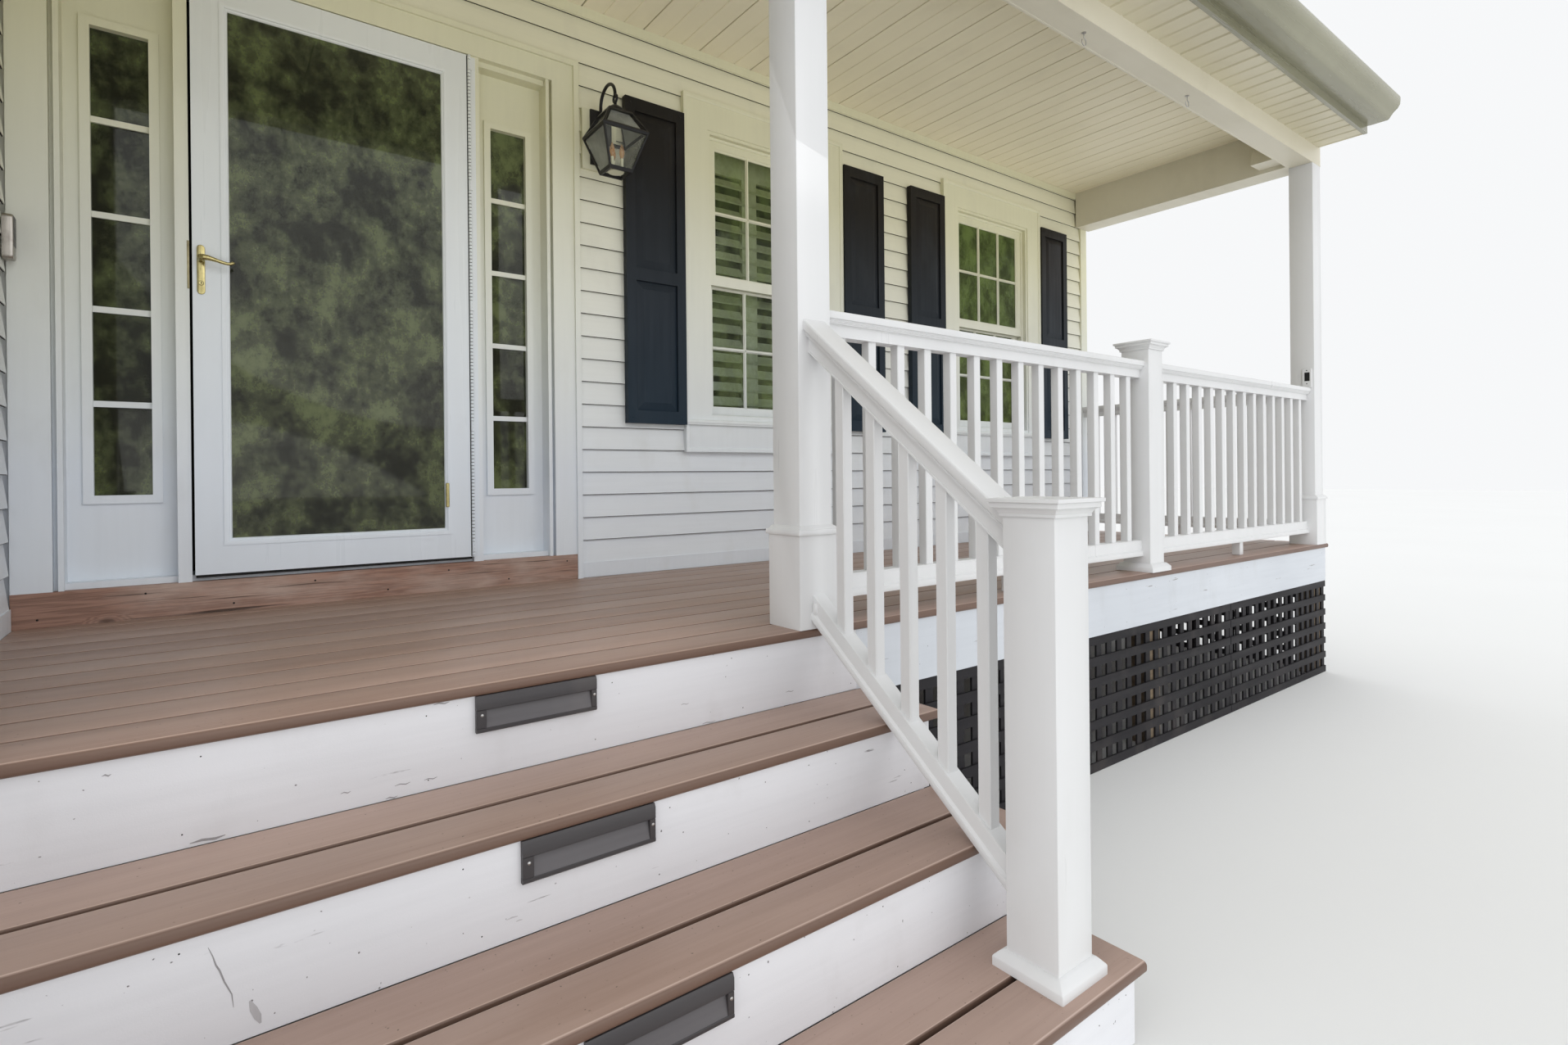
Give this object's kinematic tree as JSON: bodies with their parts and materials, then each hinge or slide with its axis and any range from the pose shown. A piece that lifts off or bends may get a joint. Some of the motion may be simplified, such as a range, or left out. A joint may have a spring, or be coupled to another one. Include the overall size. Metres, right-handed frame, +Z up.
{
  "type": "front porch",
  "caption": "Covered front porch of a clapboard house with steps, railings, entry door with sidelights, shuttered windows and a shed roof.",
  "frame": {"origin": "on the ground, in the plane of the front wall's outer face, under the middle of the entry doorway", "axes": "+Z up, +Y from the porch into the house, +X along the wall to the right as seen from the street"},
  "size_m": [6.228, 2.612, 3.9455],
  "materials": {
    "concrete": "matt",
    "siding": "satin",
    "trim_white": "satin paint",
    "pvc_white": "satin",
    "door_white": "satin",
    "glass": "clear",
    "lantern_glass": "clear",
    "weathered_wood": "weathered",
    "framing_wood": "rough sawn",
    "brass": "satin",
    "navy_paint": "satin",
    "black_metal": "satin",
    "bell": "brushed",
    "deck_brown": "grained",
    "step_light": "satin",
    "lattice_black": "matt",
    "cream_trim": "satin",
    "shingle": "granular"
  },
  "bodies": {
    "root": {"foundation_wall": "concrete", "wing_foundation": "concrete", "floor_band": "trim_white", "wall_piers": "trim_white", "wall_infills": "trim_white", "wing_wall": "trim_white", "front_siding": "siding", "wing_siding": "siding", "wall_trim": "trim_white", "corner_return": "trim_white", "entry_casing": "trim_white", "entry_frame": "trim_white", "sidelight_left": "trim_white", "sidelight_right": "trim_white", "sidelight_glass": "glass", "sill_board": "weathered_wood", "door_hinge": "door_white", "window_frames": "trim_white", "upper_sashes": "pvc_white", "lower_sashes": "pvc_white", "window_glass": "glass", "inner_shutters": "pvc_white", "shutters_window_1": "navy_paint", "shutters_window_2": "navy_paint", "lantern_block": "trim_white", "lantern_frame": "black_metal", "lantern_glass": "lantern_glass", "doorbell": "bell", "deck_boards": "deck_brown", "deck_frame": "framing_wood", "deck_joists": "framing_wood", "deck_posts": "framing_wood", "skirt_boards": "trim_white", "tread_1": "deck_brown", "tread_2": "deck_brown", "tread_3": "deck_brown", "risers": "trim_white", "stringers": "trim_white", "step_lights": "step_light", "lattice_left": "lattice_black", "lattice_right": "lattice_black", "lattice_side": "lattice_black", "porch_posts": "pvc_white", "newels": "pvc_white", "deck_rail_left": "pvc_white", "deck_rail_right": "pvc_white", "end_rail": "pvc_white", "stair_rails": "pvc_white", "front_beam": "cream_trim", "end_beam": "cream_trim", "ceiling": "cream_trim", "soffit": "cream_trim", "fascia": "cream_trim", "gutter": "cream_trim", "roof": "shingle", "roof_ends": "cream_trim"},
    "storm_door_leaf": {"storm_door": "door_white", "storm_glass": "glass", "door_plate": "brass", "door_lever": "brass"}
  },
  "joints": [
    {"name": "storm_door_swing", "type": "hinge", "parent": "root", "child": "storm_door_leaf", "pos_m": [0.457, -0.039, 1.93], "axis": [0, 0, 1], "range_deg": [0, 90]}
  ]
}
